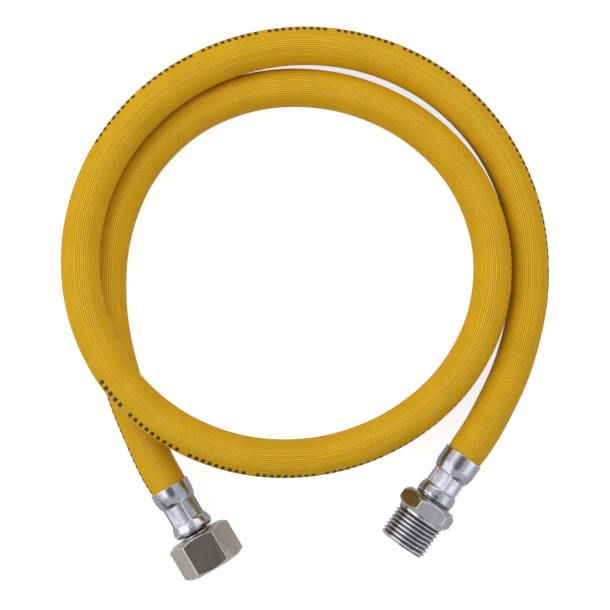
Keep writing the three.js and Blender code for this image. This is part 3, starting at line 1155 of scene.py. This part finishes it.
    def skin(self, places: Array, bore_places: Array) -> tuple[list[list[int]], Array]:
        """Faces and texture coordinates of the hose.

        The outside and the bore are grids of quads, and each end has one face for each rib, with
        the rib's outer points and two of the bore's.

        Args:
            places: Distance of each outer row.
            bore_places: Distance of each row of the bore.
        Returns:
            Corner numbers of the faces, and coordinates of each corner in metres.
        """
        ribs, share = self.finish.ribs, self.samples_per_rib
        count = ribs * share
        girth = FULL_TURN * SIZES.hose_radius
        around, bore_around = (np.arange(n + 1) * (girth / n) for n in (count, ribs))
        bore_first = len(places) * count
        cover, cover_chart = grid_skin(around, places, False)
        bore, bore_chart = grid_skin(bore_around, bore_places, False, bore_first, True)
        rib = np.arange(ribs)[:, None]
        fan = (rib * share + np.arange(share + 1)[None, :]) % count
        pair = np.concatenate([(rib + 1) % ribs, rib], axis=1)
        bore_last = bore_first + (len(bore_places) - 1) * ribs
        near = np.concatenate([fan, bore_first + pair], axis=1)[:, ::-1]
        far = np.concatenate([bore_first - count + fan, bore_last + pair], axis=1)
        rings = np.concatenate([near, far])
        faces = [*cover.tolist(), *bore.tolist(), *rings.tolist()]
        return faces, np.concatenate([cover_chart, bore_chart, np.zeros((rings.size, 2))])


@dataclass
class Ferrule:
    """Pressed sleeve: a round mouth, a crimp of six jaws and a bead that hooks behind the collar."""

    end: HoseEnd
    node: str
    row_step: float = 0.22
    bulge: float = 0.42
    ridge_width: float = 0.32
    ridge_height: float = 0.13
    steepening: float = 1.6
    softness: float = 0.04
    rim_groove: float = 0.0
    groove_back: float = 1.05
    dark_rim: float = 1.0

    def jaws(self, angles: Array, z: Array) -> Array:
        """Radius that the six jaws leave.

        The jaws stand at one distance over the crimp and open past the sleeve on both sides, by the
        share along each slope to a power, so the slope is steepest beside the crimp. Their faces are
        hollow, so the radius is flat·(1 + bulge·(hexagon/flat - 1)). Where the crimp is closed, a
        thin ridge e^(-(arc/width)²) stands in each gap between two jaws.

        Args:
            angles: Angle of each column, in radians.
            z: Place of each row.
        Returns:
            Radius at each row and column.
        """
        zones = self.end.zones
        wide = SIZES.mouth_radius + SIZES.jaw_relief
        places = [zones.mouth, zones.shoulder_at, zones.crimp_at, zones.bead_at]
        share = np.interp(z, places, [0.0, 1.0, 1.0, 0.0])
        eased = share**self.steepening
        flat = wide + (SIZES.crimp_radius - wide) * eased
        start = math.radians(self.end.jaw_angle)
        hexagon = hexagon_radius(angles, 1.0, self.end.jaw_angle)
        form = 1 + (hexagon - 1) * (1 - eased[:, None] * (1 - self.bulge))
        sixth = FULL_TURN / 6
        off = np.mod(angles - start + sixth / 2, sixth) - sixth / 2
        ridge = np.exp(-((off * SIZES.crimp_radius / self.ridge_width) ** 2)) * self.ridge_height
        return form * flat[:, None] + ridge[None, :] * eased[:, None] ** 3

    def rim(self, bead: float, bead_top: float) -> list[Triple]:
        """Corners of the bead's top, with a narrow groove beside its rim where one is given.

        Args:
            bead: Radius of the bead.
            bead_top: Place of its top where it has no groove.
        Returns:
            [radius, z, fillet] of each corner.
        """
        if self.rim_groove == 0.0:
            return [(bead, bead_top, 0.5)]
        end_at, floor, half = self.end.zones.end_at, bead - self.rim_groove, 0.08
        middle = end_at - self.groove_back
        return [
            (bead, middle - 0.35, 0.25),
            (floor, middle - half, 0.06),
            (floor, middle + half, 0.06),
            (bead - 0.15, middle + 0.3, 0.2),
            (bead - 0.2, end_at - 0.35, 0.2),
        ]

    def outline(self) -> tuple[Array, Array]:
        """Outside and inside profiles of the sleeve before the jaws close on it.

        Returns:
            [radius, z] pairs up the outside, and down the inside.
        """
        zones, wall = self.end.zones, SIZES.ferrule_wall
        mouth, corner = SIZES.mouth_radius, SIZES.crimp_radius + SIZES.crimp_corner
        bead, throat = mouth + zones.rise, SIZES.crimp_radius - wall
        bead_top = (zones.bead_at + zones.lip_at) / 2
        hook = SIZES.groove_radius + SIZES.clearance
        outside = [
            (mouth, 0.0, 0.16),
            (mouth, zones.mouth, 1.2),
            (corner, zones.shoulder_at, 1.0),
            (corner, zones.crimp_at, 1.0),
            (bead, zones.bead_at, 0.7),
            *self.rim(bead, bead_top),
            (bead - zones.tuck, zones.end_at, 0.5),
            (hook, zones.end_at, 0.15),
        ]
        inside = [
            (hook, zones.lip_at, 0.1),
            (bead - 2 * wall, zones.lip_at, 0.1),
            (bead - wall, zones.bead_at, 0.3),
            (throat, zones.crimp_at, 0.4),
            (throat, zones.shoulder_at, 0.4),
            (mouth - wall, zones.mouth, 0.4),
            (mouth - wall, 0.0, 0.16),
        ]
        whole = rounded([*outside, *inside])
        split = len(whole) * len(outside) // (len(outside) + len(inside))
        return refined(whole[:split], self.row_step), whole[split:]

    def build(self, finish: Material) -> Piece:
        """The ferrule's mesh, dressed and riding on the hose's body.

        Args:
            finish: The piece's material.
        Returns:
            The new object.
        """
        angles = angles_hex(self.end.jaw_angle)
        outside, inside = self.outline()
        rows = spun(outside, len(angles))
        rows[..., 0] = soft_min(rows[..., 0], self.jaws(angles, outside[:, 1]), self.softness)
        zones = self.end.zones
        bead = SIZES.mouth_radius + zones.rise
        # Painted shade: the bead's last dark_rim millimetres are painted dark, as a shaded rim beside
        # the next part.
        rim_shade = (zones.end_at - self.dark_rim, zones.end_at + 0.1, bead - 0.05)
        piece = loft(f"{self.node}_sleeve", [rows, inside], angles, self.end, rim_shade)
        return dress(piece, self.node, Body.HOSE, finish)


def nipple_corners(zones: FerruleZones) -> list[Triple]:
    """Profile corners of a barbed nipple, its collar and the groove for the ferrule's lip.

    Args:
        zones: The ferrule's zones.
    Returns:
        [radius, z, fillet] of each corner, up to the ferrule's end.
    """
    low = SIZES.nipple_radius - SIZES.barb_height
    corners = [(low, SIZES.nipple_setback, 0.1)]
    barbs = int((zones.collar_at - SIZES.nipple_setback) / SIZES.barb_pitch) - 1
    for barb in range(1, barbs + 1):
        z = SIZES.nipple_setback + barb * SIZES.barb_pitch
        corners += [(SIZES.nipple_radius, z, 0.05), (low, z, 0.05)]
    corners += [
        (low, zones.collar_at, 0.1),
        (SIZES.collar_radius, zones.collar_at, 0.1),
        (SIZES.collar_radius, zones.collar_end, 0.1),
        (SIZES.groove_radius, zones.collar_end, 0.1),
    ]
    return corners


@dataclass
class NutEnd:
    """Tail, swivel nut and washer on one end of the hose."""

    end: HoseEnd = NUT_END
    across_flats: float = 24.0
    length: float = 15.6
    lip: float = 2.5
    travel: float = 1.0
    undercut: float = 0.8
    back_gap: float = 1.4
    flange_length: float = 2.0
    washer_bore: float = 5.5
    washer_thickness: float = 2.0
    ring_length: float = 0.4
    ring_gap: float = 0.22
    mouth_slope: float = 0.9

    @property
    def back(self) -> float:
        """Place of the nut's back face."""
        return self.end.zones.end_at + self.back_gap

    @property
    def lip_end(self) -> float:
        """Place where the nut's lip ends."""
        return self.back + self.lip

    @property
    def flange(self) -> float:
        """Place of the tail's flange."""
        return self.lip_end + self.travel + SIZES.clearance

    @property
    def seat(self) -> float:
        """Place of the flange's front face."""
        return self.flange + self.flange_length

    @property
    def front(self) -> float:
        """Place of the nut's front face."""
        return self.back + self.length

    def build_tail(self, finish: Material) -> Piece:
        """Brass tail: barbed nipple, neck through the nut and flange that the nut pulls on.

        Args:
            finish: The piece's material.
        Returns:
            The new object.
        """
        ring_end = self.back - self.ring_gap
        ring_at = ring_end - self.ring_length
        slim = SIZES.neck_radius - 0.3
        dark_gap = slim - 0.6
        corners = [
            *nipple_corners(self.end.zones),
            (SIZES.groove_radius, ring_at, 0.1),
            (SIZES.neck_radius, ring_at, 0.18),
            (SIZES.neck_radius, ring_end, 0.18),
            (dark_gap, ring_end + 0.05, 0.05),
            (dark_gap, self.back + 0.3, 0.05),
            (slim, self.back + 0.5, 0.05),
            (slim, self.lip_end - 0.3, 0.1),
            (SIZES.neck_radius, self.flange, 0.2),
            (SIZES.flange_radius, self.flange, 0.2),
            (SIZES.flange_radius, self.seat, 0.2),
            (SIZES.nipple_bore_radius, self.seat, 0.3),
            (SIZES.nipple_bore_radius, SIZES.nipple_setback, 0.1),
        ]
        angles = angles_round(96)
        # Painted shade: the neck from the ferrule's lip to the nut's lip is painted nearly black, as
        # the shaded gap behind the nut.
        groove = (self.end.zones.lip_at, self.lip_end, SIZES.neck_radius - 0.2)
        profile = refined(rounded(corners), 0.4)
        piece = loft("brass_tail", [profile], angles, self.end, groove)
        return dress(piece, "hose_tail", Body.HOSE, finish)

    def build_washer(self, finish: Material) -> Piece:
        """Flat ring in front of the flange, with softly rounded edges.

        Args:
            finish: The piece's material.
        Returns:
            The new object.
        """
        near = self.seat + SIZES.clearance
        far = near + self.washer_thickness
        outer, inner, fillet = SIZES.flange_radius, self.washer_bore, 0.3
        places = [(outer, near), (outer, far), (inner, far), (inner, near)]
        corners = [(radius, z, fillet) for radius, z in places]
        angles = angles_round(96)
        profile = refined(rounded(corners), 0.5)
        piece = loft("rubber_washer", [profile], angles, self.end)
        return dress(piece, "sealing_washer", Body.WASHER, finish)

    def build_nut(self, finish: Material) -> Piece:
        """Hex nut: chamfered outside, mouth, helical thread, undercut and lip round the neck.

        Args:
            finish: The piece's material.
        Returns:
            The new object.
        """
        angles = angles_hex(0.0)
        flat = self.across_flats / 2
        radius, face = hexagon_radius(angles, flat, 0.0), flat - SIZES.hex_face_step
        outside = hex_rows(radius, face, self.back, self.front)
        major, minor = SIZES.thread_major, SIZES.thread_minor
        hole = SIZES.neck_radius + SIZES.clearance
        mouth = np.array([[major + 0.5, self.front], [major + 0.35, self.front - 0.1]])
        thread_at = self.lip_end + self.undercut
        start = self.front - 0.2
        thread = Thread(major, minor).rows(start, thread_at, angles)
        cone = major + 0.3 - (start - thread[..., 1]) * self.mouth_slope
        thread[..., 0] = np.maximum(thread[..., 0], cone)
        inner = np.array([
            [major, thread_at - 0.1],
            [major, self.lip_end + 0.1],
            [major - 0.1, self.lip_end],
            [hole + 0.3, self.lip_end],
            [hole + 0.1, self.lip_end - 0.05],
            [hole, self.lip_end - 0.2],
            [hole, self.back + 0.4],
            [hole + 0.05, self.back + 0.2],
            [hole + 0.25, self.back],
            [hole + 0.4, self.back],
        ])
        piece = loft("hex_swivel_nut", [outside, mouth, thread, inner], angles, self.end)
        return dress(piece, "swivel_nut", Body.NUT, finish)


@dataclass
class MaleFitting:
    """Turned fitting in one piece: barbed nipple, hex, relief and outside thread, with its bore."""

    end: HoseEnd = MALE_END
    across_flats: float = 22.0
    hex_length: float = 7.6
    relief_length: float = 1.3
    relief_step: float = 0.23
    thread_length: float = 13.4
    bore_radius: float = 6.5
    bore_floor: float = 5.5
    bore_cone: float = 2.8
    turn: float = -9.0
    chamfer: float = 43.0
    runout: float = 0.45
    tip_slope: float = 1.1

    def build(self, finish: Material) -> Piece:
        """The fitting's mesh, dressed and riding on the hose's body.

        Args:
            finish: The piece's material.
        Returns:
            The new object.
        """
        angles = angles_hex(self.turn)
        flat = self.across_flats / 2
        hex_back = self.end.zones.end_at + SIZES.clearance
        hex_front = hex_back + self.hex_length
        thread_at = hex_front + self.relief_length
        front = thread_at + self.thread_length
        relief = SIZES.thread_major - self.relief_step
        major, minor = SIZES.thread_major, SIZES.thread_minor
        corners = [*nipple_corners(self.end.zones), (SIZES.groove_radius, hex_back, 0.1)]
        corners += [(relief, hex_back, 0.1), (2.0, SIZES.nipple_setback, 0.1)]
        nipple = rounded(corners, spare=2)
        radius, face = hexagon_radius(angles, flat, self.turn), flat - SIZES.hex_face_step
        hexagon = hex_rows(radius, face, hex_back, hex_front, self.chamfer)
        neck = np.array([
            [relief + 0.02, hex_front + 0.03],
            [relief, hex_front + 0.2],
            [relief, thread_at - 0.35],
            [relief - 0.1, thread_at - 0.15],
        ])
        tip = front - 0.1
        thread = Thread(minor, major, samples=20).rows(thread_at, tip, angles)
        runout = np.where(thread[..., 1] - thread_at < self.runout, relief - 0.25, major)
        cone = minor + 0.05 + (tip - thread[..., 1]) * self.tip_slope
        thread[..., 0] = np.minimum(np.minimum(thread[..., 0], cone), runout)
        floor = hex_back + self.bore_floor
        bore = [
            (minor - 0.1, front, 0.12),
            (self.bore_radius + 0.35, front, 0.15),
            (self.bore_radius, front - 0.5, 0.15),
            (self.bore_radius, floor + self.bore_cone, 0.3),
            (SIZES.nipple_bore_radius, floor, 0.3),
            (SIZES.nipple_bore_radius, SIZES.nipple_setback, 0.1),
            (4.0, SIZES.nipple_setback - 0.01, 0.05),
        ]
        parts = [nipple, hexagon, neck, thread, rounded(bore, spare=1)]
        # Painted shade: the relief between the hex and the thread is painted nearly black.
        groove = (hex_front + 0.1, thread_at + 0.2, relief)
        piece = loft("threaded_fitting", parts, angles, self.end, groove)
        return dress(piece, "male_fitting", Body.HOSE, finish)


@dataclass
class Studio:
    """Camera straight above the hose, pale floor, soft lamps and a pale room."""

    eye: Triple = (-0.000434, -0.0007, 0.9)
    pixel: float = 0.000415
    pixel_depth: float = 0.888
    sensor: float = 36.0
    floor_side: float = 12.0
    floor_drop: float = -0.0003
    floor_glow: float = 0.74
    floor_tone: Colour = (0.65, 0.65, 0.65, 1.0)
    floor_mirrored: float = 0.2
    room_mirrored: float = 0.42
    room_level: float = 0.6
    lamps: tuple[tuple[str, Triple, float, float], ...] = (
        ("key_lamp", (-0.95, 0.0, 0.67), 1.3, 5.9),
        ("top_lamp", (0.1, 0.6, 0.42), 0.7, 1.2),
        ("fill_lamp", (0.85, -0.45, 0.5), 0.65, 0.9),
    )
    openings: tuple[tuple[float, float, float, float, float], ...] = (
        (0.0, 0.0, 12.0, 23.0, 0.75),
        (74.0, -92.0, 17.0, 27.0, 0.86),
        (84.0, -128.0, 8.0, 16.0, 0.85),
        (56.0, 145.0, 6.0, 13.0, 0.85),
    )

    def add_camera(self) -> None:
        """Camera that looks straight down, with the picture's top towards +Y."""
        data = bpy.data.cameras.new("camera")
        data.sensor_width = self.sensor
        data.lens = self.sensor * self.pixel_depth / (IMAGE_SIDE * self.pixel)
        data.clip_start = 0.01
        data.clip_end = 50.0
        camera = put_in_scene("camera", data)
        camera.location = self.eye
        bpy.context.scene.camera = camera

    def add_lamp(self, name: str, place: Triple, side: float, power: float) -> None:
        """Square soft lamp that points at the hose.

        Args:
            name: Name of the lamp.
            place: Place of its middle, in metres.
            side: Side of its square, in metres.
            power: Power in watts.
        """
        data = bpy.data.lights.new(name, "AREA")
        data.size = side
        data.energy = power
        lamp = put_in_scene(name, data)
        lamp.location = place
        x, y, z = np.array(place) / np.linalg.norm(place)
        lamp.rotation_euler = (math.acos(z), 0.0, math.atan2(y, x) + math.pi / 2)
        lamp.visible_camera = False

    def seen(self, board: Board, mirrored: float) -> Socket:
        """Share of a light that each kind of ray meets.

        Args:
            board: Board of the material or world.
            mirrored: Share for glossy and transmission rays.
        Returns:
            That share, 1 for camera rays, and 0 for the others.
        """
        path = board.add("ShaderNodeLightPath")
        bent = board.maths(
            "MAXIMUM", path.outputs["Is Glossy Ray"], path.outputs["Is Transmission Ray"]
        )
        shown = board.maths("MULTIPLY", bent, mirrored)
        return board.maths("MAXIMUM", path.outputs["Is Camera Ray"], shown)

    def add_floor(self) -> None:
        """Pale floor that reads as white and keeps the hose's shadow."""
        material = bpy.data.materials.new("pale_floor")
        board = empty_board(material)
        matt = board.add("ShaderNodeBsdfDiffuse", {"Color": self.floor_tone})
        shown = board.maths("MULTIPLY", self.seen(board, self.floor_mirrored), self.floor_glow)
        glow = board.add("ShaderNodeEmission", {"Strength": shown})
        both = board.add("ShaderNodeAddShader", {0: matt.outputs[0], 1: glow.outputs[0]})
        board.add("ShaderNodeOutputMaterial", {"Surface": both.outputs[0]})
        half = self.floor_side / 2
        mesh = bpy.data.meshes.new("floor")
        corners = [(-half, -half), (half, -half), (half, half), (-half, half)]
        mesh.from_pydata([(x, y, self.floor_drop) for x, y in corners], [], [(0, 1, 2, 3)])
        mesh.materials.append(material)
        put_in_scene("floor", mesh)

    def add_room(self) -> None:
        """Pale room light, white where it shows, less the dim openings of the light tent.

        Each opening is (angle from overhead, bearing, dark radius, outer radius, depth) in degrees.
        The light is level · product of (1 - depth · step(direction · opening)), and white for camera
        rays.
        """
        world = bpy.data.worlds.new("room")
        bpy.context.scene.world = world
        board = empty_board(world)
        direction = board.add("ShaderNodeTexCoord").outputs["Generated"]
        strength = board.scaled(self.seen(board, self.room_mirrored), self.room_level, 1.0)
        for tilt, bearing, dark, outer, depth in self.openings:
            lean, turn = math.radians(tilt), math.radians(bearing)
            aim = (math.sin(lean) * math.cos(turn), math.sin(lean) * math.sin(turn), math.cos(lean))
            both: Feeds = {0: direction, 1: aim}
            product = board.add("ShaderNodeVectorMath", both, operation="DOT_PRODUCT")
            near, far = math.cos(math.radians(dark)), math.cos(math.radians(outer))
            shade = board.ramp(product.outputs["Value"], far, near, depth)
            strength = board.maths("MULTIPLY", strength, board.maths("SUBTRACT", 1.0, shade))
        camera = board.add("ShaderNodeLightPath").outputs["Is Camera Ray"]
        strength = board.maths("MAXIMUM", strength, camera)
        white: Feeds = {"Color": (1.0, 1.0, 1.0, 1.0), "Strength": strength}
        glow = board.add("ShaderNodeBackground", white)
        board.add("ShaderNodeOutputWorld", {"Surface": glow.outputs[0]})

    def build(self) -> None:
        """Makes the camera, the floor, the room and the lamps."""
        self.add_camera()
        self.add_floor()
        self.add_room()
        for name, place, side, power in self.lamps:
            self.add_lamp(name, place, side, power)


def main() -> None:
    """Builds the studio, the hose and its two ends."""
    logging.basicConfig(level=logging.INFO, format="%(name)s: %(message)s")
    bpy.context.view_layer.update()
    scene = bpy.context.scene
    scene.view_settings.view_transform = "Standard"
    Studio().build()
    effects = SharedEffects()
    hose = Hose()
    cover = hose.build(effects)
    zinc = ZINC.build(effects)
    far_sleeve = Ferrule(NUT_END, "nut_end_ferrule").build(zinc)
    Ferrule(MALE_END, "male_end_ferrule", rim_groove=0.5, dark_rim=1.4).build(zinc)
    nut_end = NutEnd()
    tail = nut_end.build_tail(BRASS.build(effects))
    nut = nut_end.build_nut(NUT_NICKEL.build(effects))
    washer = nut_end.build_washer(RubberFinish().build(effects))
    MaleFitting().build(TURNED_NICKEL.build(effects))


if __name__ == "__main__":
    main()
